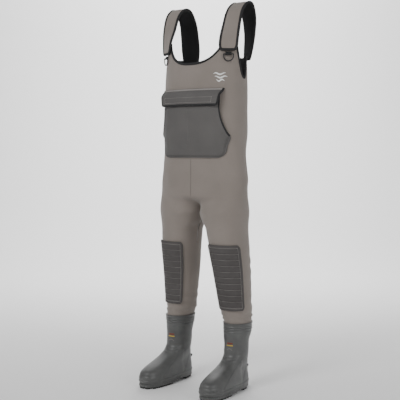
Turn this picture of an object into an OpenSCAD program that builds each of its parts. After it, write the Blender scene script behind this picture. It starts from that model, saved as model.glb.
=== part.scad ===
// Stocking-body chest waders with bonded rubber boots.
// Origin: middle of the footprint, on the ground. The wearer faces -Y, the wearer's left is +X.

/* [Body] */
// Height of the crotch seam at the front
crotch_h = 776; // [760:1:800]
// Height at which the two legs part
fork_h = 712; // [670:1:720]
// Height of the bottom of the neckline
neck_h = 1304; // [1290:1:1330]
// Height of the top of each strap tab on the bib
tab_h = 1394; // [1385:1:1400]
// Height of the edge under each arm
arm_h = 1250; // [1235:1:1280]
// Height of the back panels' top edge between the straps
back_h = 1290; // [1280:1:1310]
// Width over the chest
chest_w = 368; // [330:1:410]
// Width over the hips
hip_w = 400; // [350:1:420]
// Thickness of the foam rubber cloth
cloth = 5; // [3:0.5:6]

/* [Legs] */
// Height at which the leg is bonded into the boot
leg_bottom_h = 250; // [245:1:262]
// Width of the leg at mid thigh
thigh_w = 154; // [130:1:170]
// Width of the leg at the shin
shin_w = 122; // [110:1:140]

/* [Shoulder straps] */
// Width of each shoulder strap
strap_w = 74; // [56:1:80]
// Thickness of each shoulder strap
strap_t = 6; // [4:0.5:8]
// Thickness of each hook or loop patch
patch_t = 1.1; // [0.8:0.1:1.2]

/* [D-rings] */
// Radius of each D-ring's bend, to the middle of its wire
ring_r = 19; // [15:0.5:21]
// Length of each D-ring's straight sides
ring_leg = 8; // [4:0.5:12]
// Diameter of the D-ring's wire
ring_wire = 4.4; // [3:0.1:5]
// Clearance round the wire in its webbing loop
ring_clear = 0.5; // [0.3:0.1:0.8]

/* [Chest pocket] */
// Height of the pocket's bottom edge
pocket_bottom = 934; // [920:1:950]
// Half width of the pocket at its widest
pocket_half = 164; // [120:1:160]
// Half width of the pocket between the hand openings
pocket_neck = 132; // [95:1:125]
// Depth of the space inside the pocket
pocket_depth = 13; // [8:0.5:16]
// Thickness of the pocket and flap cloth
pocket_t = 3.5; // [2:0.5:5]
// Half width of the flap
flap_half = 145; // [110:1:142]
// Height of the flap's top edge
flap_top = 1206; // [1195:1:1215]
// Length of the flap
flap_len = 66; // [50:1:75]

/* [Knee pads] */
// Height of the top of each knee pad
knee_top = 590; // [560:1:610]
// Height of the bottom of each knee pad
knee_bottom = 326; // [320:1:360]
// Thickness of each knee pad
knee_t = 5; // [3:0.5:7]

/* [Boots] */
// Length of each boot
boot_len = 297; // [285:1:310]
// Width of each boot over the ball of the foot
boot_w = 101; // [95:1:118]
// Height of each boot's shaft
boot_h = 272; // [268:1:285]
// Thickness of the rubber
rubber = 4; // [3:0.5:5]
// Thickness of the outsole, lugs included
sole_h = 17; // [14:1:20]
// Depth of the lugs
lug_h = 7; // [5:0.5:9]
// Distance of each boot's middle from the centre plane
boot_x = 147; // [140:1:160]

/* [Hidden] */

cloth_grey = [0.55, 0.52, 0.49];
pad_grey = [0.34, 0.33, 0.32];
rubber_grey = [0.36, 0.37, 0.37];
trim_black = [0.06, 0.06, 0.06];
fit = 0.4;
// Sizes kept inside the body that carries them
fork = min(fork_h, crotch_h - 64);
function up(k) = boot_h + k * (fork - boot_h) / 440;
knee_low = min(knee_bottom, up(54));
knee_high = min(knee_top, up(318));
hip_wide = min(hip_w, 1.09 * chest_w);
thigh_wide = min(thigh_w, 0.385 * hip_wide);
pocket_wide = min(pocket_half, 0.45 * chest_w);
pocket_narrow = min(pocket_neck, 0.375 * chest_w);
flap_wide = min(flap_half, 0.4 * chest_w);
body_power = 2.4;
leg_power = 2.2;

// Girth stations of the body: height, half width, front, back
BODY = [[crotch_h, hip_wide / 2, -51, 132], [850, hip_wide / 2 - 2, -50, 132], [940, chest_w / 2 + 2, -50, 140],
    [1020, chest_w / 2 - 2, -54, 162], [1120, chest_w / 2, -60, 163], [1230, chest_w / 2 - 4, -58, 166],
    [1300, chest_w / 2 - 6, -50, 163], [1400, chest_w / 2 - 12, -32, 156]];
// Girth stations of a leg: height, middle x, middle y, half width, half depth
LEG = [[boot_h - 2, 142, 73, 55, 66], [up(28), 140, 75, 57, 67],
    [up(88), 135, 71, shin_w / 2, 70], [up(208), 126, 62, shin_w / 2 + 10, 77],
    [up(318), 0.295 * hip_wide, 49, thigh_wide / 2, 86],
    [up(378), 0.2775 * hip_wide, 45, thigh_wide / 2 + 5, 89], [fork, hip_wide / 4, 42, hip_wide / 4, 94]];

function clamp01(v) = max(0, min(1, v));
function ease(v) = let (u = clamp01(v)) u * u * (3 - 2 * u);
function mix(a, b, k) = a * (1 - k) + b * k;
function spow(v, p) = sign(v) * pow(abs(v), p);
// Smooth curve through rows of a list whose first column is the height
function slope(list, i) = let (a = list[max(i - 1, 0)], b = list[min(i + 1, len(list) - 1)])
    (b - a) / (b[0] - a[0]);
function row_at(list, z, i = 0) =
    (i >= len(list) - 2 || z <= list[i + 1][0]) ?
        let (a = list[i], b = list[i + 1], h = b[0] - a[0], u = clamp01((z - a[0]) / h))
            a * (1 + 2 * u) * (1 - u) * (1 - u) + slope(list, i) * h * u * (1 - u) * (1 - u)
            + b * u * u * (3 - 2 * u) + slope(list, i + 1) * h * u * u * (u - 1)
        : row_at(list, z, i + 1);
function range_of(a, b, count) = [for (i = [0 : count]) mix(a, b, i / count)];

// Left half of the body at height z: t runs 0 at the centre front, 1 at the centre back
function body_pt(z, t, off) = let (r = row_at(BODY, z), p = 2 / body_power, b = (r[3] - r[2]) / 2)
    [(r[1] + off) * spow(sin(180 * t), p), (r[2] + r[3]) / 2 - (b + off) * spow(cos(180 * t), p), z];
// Left leg at height z: t runs 0 at the inseam, by the front, back to 1 at the inseam
function leg_pt(z, t, off) = let (r = row_at(LEG, z), p = 2 / leg_power, k = ease((z - boot_h) / 28),
    free = [r[1] - (r[3] + off) * spow(cos(360 * t), p), r[2] - (r[4] + off) * spow(sin(360 * t), p), z],
    tucked = boot_pt(min(z, boot_h), 360 * t - 90, off - rubber - 2 * fit))
    [mix(tucked[0], free[0], k), mix(tucked[1], free[1], k), z];
function half_pt(z, t, off) =
    z <= fork ? leg_pt(z, t, off)
    : z >= crotch_h ? body_pt(z, t, off)
    : let (s = (crotch_h - z) / (crotch_h - fork), k = sin(90 * s))
        concat([for (i = [0 : 1]) mix(body_pt(crotch_h, t, off)[i], leg_pt(fork, t, off)[i], k)], [z]);
function front_y(x, z, off) = let (r = row_at(BODY, z), b = (r[3] - r[2]) / 2 + off)
    (r[2] + r[3]) / 2 - b * pow(max(0, 1 - pow(min(1, abs(x) / (r[1] + off)), body_power)), 1 / body_power);

// Top edge of the body by angle from the centre front, in degrees
function top_edge(a) =
    a < 48 ? mix(neck_h, tab_h, pow(a / 48, 2.3))
    : a < 70 ? tab_h
    : a < 93 ? mix(tab_h, arm_h, ease((a - 70) / 22))
    : a < 118 ? mix(arm_h, back_h + 30, ease((a - 93) / 12))
    : a < 142 ? back_h + 30
    : mix(back_h + 30, back_h, ease((a - 142) / 26));

// Sheet between two grids of points with the same rows and columns
module sheet(outer, inner) {
    rows = len(outer);
    cols = len(outer[0]);
    count = rows * cols;
    all = concat([for (r = outer) each r], [for (r = inner) each r]);
    skins = [for (i = [0 : rows - 2], j = [0 : cols - 2]) let (a = i * cols + j, b = a + cols)
        each [[a, b + 1, a + 1], [a, b, b + 1],
            [a + count, a + 1 + count, b + 1 + count], [a + count, b + 1 + count, b + count]]];
    ends = [for (i = [0 : rows - 2]) let (a = i * cols, b = a + cols, c = a + cols - 1, d = b + cols - 1)
        each [[a, b + count, b], [a, a + count, b + count],
            [c, d, d + count], [c, d + count, c + count]]];
    last = (rows - 1) * cols;
    rims = [for (j = [0 : cols - 2]) let (k = last + j)
        each [[j, j + 1, j + 1 + count], [j, j + 1 + count, j + count],
            [k, k + 1 + count, k + 1], [k, k + count, k + 1 + count]]];
    polyhedron(points = all, faces = concat(skins, ends, rims));
}

// Closed skin over a stack of rings with the same number of points; loop joins the last ring to the first
module skin(rings, loop = false) {
    m = len(rings);
    n = len(rings[0]);
    steps = loop ? m - 1 : m - 2;
    sides = [for (i = [0 : steps], j = [0 : n - 1])
        let (a = i * n, b = ((i + 1) % m) * n, k = (j + 1) % n)
        each [[a + j, b + j, b + k], [a + j, b + k, a + k]]];
    caps = loop ? [] : [[for (j = [0 : n - 1]) j], [for (j = [n - 1 : -1 : 0]) (m - 1) * n + j]];
    polyhedron(points = [for (r = rings) each r], faces = concat(sides, caps));
}

module both(side) {
    if (side < 0) mirror([1, 0, 0]) children();
    else children();
}

body_rows = [for (q = [90, 66, 44, 22]) crotch_h - (crotch_h - fork) * sin(q)];
body_steps = [crotch_h, 830, 900, 980, 1060, 1140, 1215];
body_cols = 15;
module body_panel(from, to) {
    cols = body_cols;
    lower = concat(body_rows, body_steps);
    function grid(off) = concat(
        [for (z = lower) [for (t = range_of(from, to, cols)) half_pt(z, t, off)]],
        [for (k = [0.5, 1]) [for (t = range_of(from, to, cols))
            half_pt(mix(1215, top_edge(180 * t), k), t, off)]]);
    sheet(grid(0), grid(-cloth));
}

leg_rows = concat([leg_bottom_h, boot_h - 10, boot_h + 8],
    [for (k = [28, 58, 98, 128, 158, 188, 218, 248, 278, 308, 338, 378, 402, 440]) up(k)]);
module leg_panel(from, to) {
    cols = 13;
    function grid(off) = [for (z = leg_rows) [for (t = range_of(from, to, cols)) half_pt(z, t, off)]];
    sheet(grid(0), grid(-cloth));
}

// Strip of tape inside the body, along the centre plane
module centre_tape(t, low, high) {
    half = 9;
    zs = concat([low], [for (z = body_steps) if (z > low && z < high) z], [high]);
    function line(z, x, off) = let (p = half_pt(z, t, off)) [x, p[1], z];
    out = [for (z = zs) [for (x = [-half, half]) line(z, x, -cloth - 1)]];
    in = [for (z = zs) [for (x = [-half, half]) line(z, x, -cloth - 1.9)]];
    sheet(t < 0.5 ? out : [for (r = out) [r[1], r[0]]], t < 0.5 ? in : [for (r = in) [r[1], r[0]]]);
}

function unit(v) = v / norm(v);
function tangent(path, i) = unit(path[min(i + 1, len(path) - 1)] - path[max(i - 1, 0)]);
// Binding that sits on a sheet's edge: path along the edge, face normals, height off the edge, thickness
module binding(path, normals, high, thick) {
    rings = [for (i = [0 : len(path) - 1])
        let (d = tangent(path, i), n = unit(normals[i] - d * (normals[i] * d)), u = cross(n, d), c = thick / 2)
        [for (q = [[0.5, -c], [high * 0.7, -c], [high, -c * 0.4], [high, c * 0.4], [high * 0.7, c], [0.5, c]])
            path[i] + u * q[0] + n * q[1]]];
    skin(rings);
}
function edge_path(from, to, count) =
    [for (t = range_of(from, to, count)) half_pt(top_edge(180 * t), t, -cloth / 2)];
function edge_normals(from, to, count) = [for (t = range_of(from, to, count))
    let (a = half_pt(top_edge(180 * t), t, 1), b = half_pt(top_edge(180 * t), t, 0)) a - b];
neck_turn = 8 / 30;
arm_turn = 12 / 30;
back_tab_turn = 19 / 30;
back_neck_turn = 24 / 30;
module armhole_binding() {
    binding(edge_path(arm_turn, back_tab_turn, 7), edge_normals(arm_turn, back_tab_turn, 7), 7, cloth + 2);
}
module neck_binding(from, to, back = false) {
    n = round(abs(to - from) * 2 * body_cols);
    left = edge_path(from, to, n);
    normals = edge_normals(from, to, n);
    side = back ? 1 : -1;
    path = concat([for (i = [n : -1 : 1]) [side * left[i][0], left[i][1], left[i][2]]],
        [for (i = [0 : n]) [-side * left[i][0], left[i][1], left[i][2]]]);
    turns = concat([for (i = [n : -1 : 1]) [side * normals[i][0], normals[i][1], normals[i][2]]],
        [for (i = [0 : n]) [-side * normals[i][0], normals[i][1], normals[i][2]]]);
    binding(path, turns, 7, cloth + 2);
}

// Shoulder strap: inner face's middle line from the bib over the shoulder to the back, and its turn
strap_x = chest_w * 150 / 368;
STRAP = [[strap_x, -8.5, 1352, 33], [strap_x + 1, -2, 1400, 27], [strap_x + 2, 13, 1450, 13],
    [strap_x + 3, 34, 1505, 6], [strap_x + 4, 62, 1535, 2], [strap_x + 5, 90, 1545, 0],
    [strap_x + 4, 116, 1533, -6], [strap_x + 2, 138, 1490, -14], [strap_x - 1, 146, 1435, -24],
    [strap_x - 6, 146, 1380, -30], [strap_x - 11, 141, 1326, -34]];
function strap_row(s) = let (f = s * (len(STRAP) - 1), i = min(floor(f), len(STRAP) - 2), u = f - i,
    a = STRAP[max(i - 1, 0)], b = STRAP[i], c = STRAP[i + 1], d = STRAP[min(i + 2, len(STRAP) - 1)])
    (2 * b + (c - a) * u + (2 * a - 5 * b + 4 * c - d) * u * u + (3 * b - a - 3 * c + d) * u * u * u) / 2;
function strap_spot(s) = let (r = strap_row(s)) [r[0], r[1], r[2]];
function strap_side(s) = let (r = strap_row(s)) [cos(r[3]), sin(r[3]), 0];
function strap_out(s) = unit(cross(strap_side(s), strap_spot(min(1, s + 0.01)) - strap_spot(max(0, s - 0.01))));
function strap_pt(s, w, off) = strap_spot(s) + strap_side(s) * w - strap_out(s) * -off;
// Half width of the strap: its front end is round
function strap_half(s) = strap_w / 2 * (s < 0.07 ? 0.72 + 0.28 * sqrt(1 - pow(1 - s / 0.07, 2)) : 1);
strap_steps = concat([0, 0.012, 0.035, 0.07], range_of(0.12, 1, 20));
module strap_sheet(from, to, half, low, high, cols = 4, steps = strap_steps) {
    rows = [for (s = steps) if (s >= from && s <= to) s];
    function grid(off) = [for (s = rows) [for (k = range_of(-1, 1, cols))
        strap_pt(s, k * min(half, strap_half(s)), off)]];
    sheet(grid(high), grid(low));
}
module shoulder_strap() {
    strap_sheet(0, 1, strap_w / 2, 0, strap_t);
}
module strap_binding() {
    edge = [for (s = strap_steps) if (s <= 0.97) s];
    n = len(edge);
    sides = [for (k = [1, -1]) [for (i = [0 : n - 1]) strap_pt(edge[i], k * strap_half(edge[i]), strap_t / 2)]];
    path = concat([for (i = [n - 1 : -1 : 0]) sides[0][i]], [sides[0][0] * 0.5 + sides[1][0] * 0.5],
        [for (i = [0 : n - 1]) sides[1][i]]);
    turns = concat([for (i = [n - 1 : -1 : 0]) strap_out(edge[i])], [strap_out(0)],
        [for (i = [0 : n - 1]) strap_out(edge[i])]);
    binding(path, turns, 2.4, strap_t + 1.6);
}

// D-ring, its webbing and the place where it hangs
ring_x = strap_x;
ring_h = 1338;
ring_turn = 34;
ring_stand = 7.8;
ring_at = [ring_x + ring_stand * sin(ring_turn),
    front_y(ring_x, ring_h, 0) - ring_stand * cos(ring_turn), ring_h];
module ring_place() {
    translate(ring_at) rotate([0, 0, ring_turn]) children();
}
module d_ring() {
    ring_place() {
        translate([-ring_r, 0, 0]) rotate([0, 90, 0]) cylinder(d = ring_wire, h = 2 * ring_r, $fn = 48);
        translate([0, 0, -ring_leg]) rotate([90, 0, 0]) intersection() {
            rotate_extrude($fn = 96) translate([ring_r, 0]) circle(d = ring_wire, $fn = 48);
            translate([-2 * ring_r, -2 * ring_r, -ring_wire]) cube([4 * ring_r, 2 * ring_r, 2 * ring_wire]);
        }
        for (k = [-1, 1]) translate([k * ring_r, 0, -ring_leg]) {
            cylinder(d = ring_wire, h = ring_leg, $fn = 48);
            translate([0, 0, ring_leg]) sphere(d = ring_wire, $fn = 48);
        }
    }
}
web_w = 24;
web_t = 1.4;
web_rise = 9;
module ring_webbing() {
    bore = ring_wire / 2 + ring_clear;
    ring_place() {
        rotate([0, 90, 0]) difference() {
            cylinder(r = bore + web_t, h = web_w, center = true, $fn = 64);
            cylinder(r = bore, h = web_w + 2, center = true, $fn = 64);
        }
        translate([-web_w / 2, bore + 0.05, 0]) cube([web_w, web_t, web_rise]);
    }
}

// Pocket on the front: half width at height z, and how far it stands off the body
pocket_top = flap_top - 24;
hand_low = 1018;
corner = 36;
round_top = pocket_bottom + corner;
pocket_low_half = pocket_wide - 10;
function pocket_edge(z) =
    z < round_top ? pocket_low_half - corner * (1 - sqrt(max(0, 1 - pow((round_top - z) / corner, 2))))
    : z < hand_low ? mix(pocket_low_half, pocket_wide, ease((z - round_top) / (hand_low - round_top)))
    : z < flap_top - flap_len ?
        mix(pocket_wide, pocket_narrow, 1 - pow(1 - (z - hand_low) / (flap_top - flap_len - hand_low), 2))
    : pocket_narrow;
function pocket_off(z, k) = let (low = ease((z - pocket_bottom) / 60), side = ease((1 - abs(k)) / 0.3),
    open = ease((z - hand_low + 12) / 30), high = mix(1, 0.55, ease((z - pocket_top + 64) / 58)))
    3 * fit + pocket_depth * low * mix(side, 0.5 + 0.5 * side, open) * high;
pocket_rows = concat([for (q = [90, 60, 30, 0]) pocket_bottom + corner * (1 - sin(q))],
    range_of(round_top + 12, pocket_top, 10));
function pocket_pt(z, k, off) = let (x = k * pocket_edge(z)) [x, front_y(x, z, pocket_off(z, k) + off), z];
module pocket_sheet(rows, low, high, from = -1, to = 1, cols = 20) {
    function grid(off) = [for (z = rows) [for (k = range_of(from, to, cols)) pocket_pt(z, k, off)]];
    sheet(grid(high), grid(low));
}
module hand_binding() {
    zs = range_of(hand_low + 4, pocket_top, 12);
    path = [for (z = zs) pocket_pt(z, 1, pocket_t / 2)];
    turns = [for (z = zs) let (p = pocket_pt(z, 1, 1)) pocket_pt(z, 1, 5) - p];
    binding([for (i = [12 : -1 : 0]) path[i]], [for (i = [12 : -1 : 0]) turns[i]], 3, pocket_t + 1.6);
}

// Flap over the pocket's top
flap_stand = pocket_depth + pocket_t + 5;
function flap_off(z) = let (k = clamp01((flap_top - z) / flap_len)) mix(1.2, flap_stand, ease(k * 2));
function flap_edge(z) = flap_wide - 9 * ease((flap_top - z) / flap_len)
    - 6 * pow(clamp01((flap_top - flap_len + 12 - z) / 12), 2);
function flap_pt(z, k, off) = let (x = k * flap_edge(z)) [x, front_y(x, z, flap_off(z) + off), z];
module flap_sheet(rows, low, high, share = 1, cols = 20) {
    function grid(off) = [for (z = rows) [for (k = range_of(-share, share, cols)) flap_pt(z, k, off)]];
    sheet(grid(high), grid(low));
}
flap_rows = [for (d = [0, 4, 12, 28, 44, 58, 66]) flap_top - flap_len + d / 66 * flap_len];
module flap_hook_strip() {
    flap_sheet(hook_rows, -patch_t - 0.5, -0.5, 0.6, 12);
}
module flap_binding() {
    low = flap_top - flap_len;
    last = len(flap_rows) - 2;
    ks = range_of(1, -1, 20);
    side = [for (i = [last : -1 : 0]) flap_pt(flap_rows[i], 1, pocket_t / 2)];
    under = [for (i = [1 : 19]) flap_pt(low, ks[i], pocket_t / 2)];
    path = concat(side, under, [for (i = [last : -1 : 0]) [-side[i][0], side[i][1], side[i][2]]]);
    binding(path, [for (p = path) [0, -1, 0]], 3, pocket_t + 1.6);
}

// Knee pad: t is the turn round the leg
knee_from = 0.135;
knee_to = 0.44;
knee_rows = concat([knee_low, knee_low + 5], range_of(knee_low + 16, knee_high - 12, 10),
    [knee_high - 4, knee_high]);
function knee_share(z) = let (d = min(z - knee_low, knee_high - z)) 1 - 0.13 * pow(clamp01(1 - d / 16), 2);
module knee_pad() {
    middle = (knee_from + knee_to) / 2;
    half = (knee_to - knee_from) / 2;
    function grid(off) = [for (z = knee_rows) [for (k = range_of(-1, 1, 10))
        half_pt(z, middle + half * k * knee_share(z), off)]];
    sheet(grid(2 * fit + knee_t), grid(2 * fit));
}

// Boot stations: height, front, back, half width, share of the foot's outline
boot_toe = -boot_len / 2 - 21;
boot_heel = boot_len / 2 - 21;
shaft_front = boot_toe + 176;
foot_half = boot_w / 1.72;
BOOT = [[sole_h, boot_toe + 6, boot_heel - 3, foot_half - 2, 1], [30, boot_toe + 1, boot_heel, foot_half, 1],
    [50, boot_toe, boot_heel, foot_half - 1, 1], [66, boot_toe + 7, boot_heel - 1, foot_half - 5, 0.95],
    [80, boot_toe + 39, boot_heel - 3, foot_half - 8, 0.85],
    [95, boot_toe + 88, boot_heel - 5, foot_half - 10, 0.7],
    [112, boot_toe + 134, boot_heel - 7, 48, 0.45], [130, boot_toe + 162, boot_heel - 8, 47.5, 0.2],
    [152, shaft_front - 3, boot_heel - 6, 47, 0], [190, shaft_front, boot_heel - 3, 48, 0],
    [230, shaft_front + 1, boot_heel + 7, 53, 0], [boot_h, shaft_front, boot_heel + 14, 57.5, 0]];
toe_out = 4;
boot_ring_points = 36;
function foot_shape(a) = spow(sin(a), 0.75) * (0.9 + 0.1 * cos(a) + 0.06 * cos(2 * a));
function boot_pt(z, a, off) = let (r = row_at(BOOT, z), y0 = (r[1] + r[2]) / 2, l = (r[2] - r[1]) / 2 + off,
    y = y0 - l * cos(a))
    [boot_x - y / boot_len * 2 * toe_out + (r[3] + off) * mix(sin(a), foot_shape(a), r[4]), y, z];
function boot_ring(z, off, count = boot_ring_points) =
    [for (i = [0 : count - 1]) boot_pt(z, i * 360 / count, off)];
boot_rows = [sole_h, 22, 30, 50, 60, 68, 76, 86, 98, 112, 130, 152, 190, 230, 258, boot_h];
inner_rows = [boot_h, 258, 230, 190, 152, 130, 112, 98, 86, 76, 68, 60, 50, 30, sole_h + rubber];
module boot_upper() {
    skin(concat([for (z = boot_rows) boot_ring(z, 0)], [for (z = inner_rows) boot_ring(z, -rubber)]));
}
function sole_outline(off) = [for (p = boot_ring(30, off, 48)) [p[0], p[1]]];
lug_pitch = 19;
lug_gap = 6;
lug_step = boot_w / 4 + 1;
lug_size = [lug_step - lug_gap, lug_pitch - lug_gap];
module outsole() {
    translate([0, 0, lug_h]) linear_extrude(sole_h - lug_h) polygon(sole_outline(2));
    linear_extrude(lug_h) intersection() {
        polygon(sole_outline(1.5));
        union() {
            for (y = [boot_toe : lug_pitch : -20], x = [-2.5 : 1.5])
                translate([boot_x + x * lug_step, y]) square(lug_size);
            for (y = [boot_heel - 78 : lug_pitch : boot_heel], x = [-2 : 1])
                translate([boot_x + x * lug_step + 3, y]) square(lug_size);
        }
    }
}
insole_t = 5;
module insole() {
    translate([0, 0, sole_h + rubber + 0.2]) linear_extrude(insole_t)
        polygon([for (p = boot_ring(sole_h + rubber, -rubber - 1, 48)) [p[0], p[1]]]);
}
band_top = 34;
band_t = 1.8;
module foxing_band() {
    zs = [sole_h + 0.2, 22, 30, band_top];
    skin(concat([for (z = zs) boot_ring(z, band_t)],
        [for (i = [3 : -1 : 0]) boot_ring(zs[i], 0.1)]), loop = true);
}
spur_h = 84;
module heel_spur() {
    back = boot_pt(spur_h, 180, 0);
    translate([back[0] - 15, back[1] - 0.5, spur_h]) rotate([90, 0, 90]) linear_extrude(30)
        polygon([[2.5, -9], [11, -3], [11, 3], [1, 7]]);
}
module cuff_tape() {
    zs = [leg_bottom_h - 22, leg_bottom_h - 12, leg_bottom_h - 0.4];
    skin(concat([for (z = zs) boot_ring(z, -rubber - 0.3)],
        [for (i = [2 : -1 : 0]) boot_ring(zs[i], -rubber - 1.5)]),
        loop = true);
}

module crotch_tape() {
    half = 8;
    qs = range_of(-70, 70, 16);
    function seam(q, x, off) = let (z = crotch_h - (crotch_h - fork) * cos(q) + off + 8 * pow(cos(q), 6),
        p = half_pt(max(fork + 0.5, z - off), q < 0 ? 0 : 1, 0)) [x, p[1] * (1 - off / 60), z];
    out = [for (q = qs) [for (x = [half, -half]) seam(q, x, cloth + 10)]];
    in = [for (q = qs) [for (x = [half, -half]) seam(q, x, cloth + 11.5)]];
    sheet(out, in);
}
hook_steps = [0.035, 0.07, 0.12];
module hook_patch() {
    strap_sheet(0, 1, 18, -patch_t - fit, -fit, 4, hook_steps);
}
module loop_patch() {
    function grid(off) = [for (z = range_of(1352, tab_h - 4, 4))
        [for (x = range_of(strap_x * 0.88, strap_x * 1.0934, 4))
        [x, front_y(x, z, off), z]]];
    sheet(grid(0.4 + patch_t), grid(0.4));
}
module pocket_loop_strip() {
    low = pocket_t + 1.5 * fit;
    pocket_sheet(loop_rows, low, low + patch_t, -0.6, 0.6, 12);
}
loop_rows = [for (i = [3, 2]) pocket_rows[len(pocket_rows) - i]];
hook_rows = [flap_rows[2], flap_rows[3]];

color(cloth_grey) body_panel(0, 0.5);  // left_front_body
color(cloth_grey) both(-1) body_panel(0, 0.5);  // right_front_body
color(cloth_grey) body_panel(0.5, 1);  // left_back_body
color(cloth_grey) both(-1) body_panel(0.5, 1);  // right_back_body
color(cloth_grey) leg_panel(0, 0.5);  // left_leg_front
color(cloth_grey) both(-1) leg_panel(0, 0.5);  // right_leg_front
color(cloth_grey) leg_panel(0.5, 1);  // left_leg_back
color(cloth_grey) both(-1) leg_panel(0.5, 1);  // right_leg_back
color(trim_black) centre_tape(0, crotch_h + 6, neck_h - 12);  // centre_front_tape
color(trim_black) centre_tape(1, crotch_h + 6, back_h - 12);  // centre_back_tape
color(trim_black) crotch_tape();
color(trim_black) neck_binding(0, neck_turn);  // front_neck_binding
color(trim_black) neck_binding(1, back_neck_turn, true);  // back_neck_binding
color(trim_black) armhole_binding();  // left_armhole_binding
color(trim_black) both(-1) armhole_binding();  // right_armhole_binding
color(cloth_grey) shoulder_strap();  // left_strap
color(cloth_grey) both(-1) shoulder_strap();  // right_strap
color(trim_black) strap_binding();  // left_strap_binding
color(trim_black) both(-1) strap_binding();  // right_strap_binding
color(trim_black) hook_patch();  // left_hook_patch
color(trim_black) both(-1) hook_patch();  // right_hook_patch
color(trim_black) loop_patch();  // left_loop_patch
color(trim_black) both(-1) loop_patch();  // right_loop_patch
color(trim_black) d_ring();  // left_d_ring
color(trim_black) both(-1) d_ring();  // right_d_ring
color(trim_black) ring_webbing();  // left_ring_webbing
color(trim_black) both(-1) ring_webbing();  // right_ring_webbing
color(pad_grey) pocket_sheet(pocket_rows, 0, pocket_t);  // pocket_panel
color(trim_black) hand_binding();  // left_hand_binding
color(trim_black) both(-1) hand_binding();  // right_hand_binding
color(trim_black) pocket_loop_strip();
color(pad_grey) flap_sheet(flap_rows, 0, pocket_t);  // pocket_flap
color(trim_black) flap_binding();
color(trim_black) flap_hook_strip();
color(pad_grey) knee_pad();  // left_knee_pad
color(pad_grey) both(-1) knee_pad();  // right_knee_pad
color(rubber_grey) boot_upper();  // left_boot_upper
color(rubber_grey) both(-1) boot_upper();  // right_boot_upper
color(trim_black) outsole();  // left_outsole
color(trim_black) both(-1) outsole();  // right_outsole
color(trim_black) insole();  // left_insole
color(trim_black) both(-1) insole();  // right_insole
color(rubber_grey) foxing_band();  // left_foxing_band
color(rubber_grey) both(-1) foxing_band();  // right_foxing_band
color(trim_black) heel_spur();  // left_heel_spur
color(trim_black) both(-1) heel_spur();  // right_heel_spur
color(trim_black) cuff_tape();  // left_cuff_tape
color(trim_black) both(-1) cuff_tape();  // right_cuff_tape
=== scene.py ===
import bpy
import bmesh
import math
from mathutils import Matrix, Vector, noise


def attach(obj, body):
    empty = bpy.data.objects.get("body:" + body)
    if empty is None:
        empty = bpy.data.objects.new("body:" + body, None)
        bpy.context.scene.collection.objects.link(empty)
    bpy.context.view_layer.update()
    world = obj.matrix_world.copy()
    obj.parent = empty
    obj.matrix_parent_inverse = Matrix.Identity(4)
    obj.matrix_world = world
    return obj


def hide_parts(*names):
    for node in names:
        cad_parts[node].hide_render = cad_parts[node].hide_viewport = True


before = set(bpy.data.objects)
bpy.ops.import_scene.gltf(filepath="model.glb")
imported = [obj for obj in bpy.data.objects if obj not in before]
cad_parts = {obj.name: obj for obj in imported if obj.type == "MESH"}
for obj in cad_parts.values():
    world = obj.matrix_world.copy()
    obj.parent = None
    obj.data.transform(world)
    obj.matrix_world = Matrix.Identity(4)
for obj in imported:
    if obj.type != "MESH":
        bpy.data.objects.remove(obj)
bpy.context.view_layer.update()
scene = bpy.context.scene
print("frame loaded")

mm = 0.001


def clamp(value, low=0.0, high=1.0):
    return max(low, min(high, value))


def ease(value):
    u = clamp(value)
    return u * u * (3 - 2 * u)


def mix(a, b, k):
    return a * (1 - k) + b * k


def bell(value, middle, width):
    return math.exp(-((value - middle) / width) ** 2)


def signedPower(value, power):
    return math.copysign(abs(value) ** power, value)


def rangeOf(a, b, count):
    return [mix(a, b, i / count) for i in range(count + 1)]


# stage, camera and light
camera = {"azimuth": 35.8, "height": 0.97, "distance": 3.40, "pitch": 3.5, "lens": 75.5, "aside": 0.013}


def makeCamera():
    turn = math.radians(camera["azimuth"])
    data = bpy.data.cameras.new("viewCamera")
    data.lens = camera["lens"]
    data.sensor_width = 36
    obj = bpy.data.objects.new("viewCamera", data)
    scene.collection.objects.link(obj)
    away = camera["distance"]
    obj.location = (math.sin(turn) * away, -math.cos(turn) * away + camera["aside"], camera["height"])
    obj.rotation_euler = (math.radians(90 - camera["pitch"]), 0, turn)
    scene.camera = obj


def makeLight(name, place, aim, size, power):
    data = bpy.data.lights.new(name, "AREA")
    data.shape = "DISK"
    data.size = size
    data.energy = power
    obj = bpy.data.objects.new(name, data)
    scene.collection.objects.link(obj)
    obj.location = place
    obj.rotation_euler = (Vector(aim) - Vector(place)).to_track_quat("-Z", "Y").to_euler()


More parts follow.
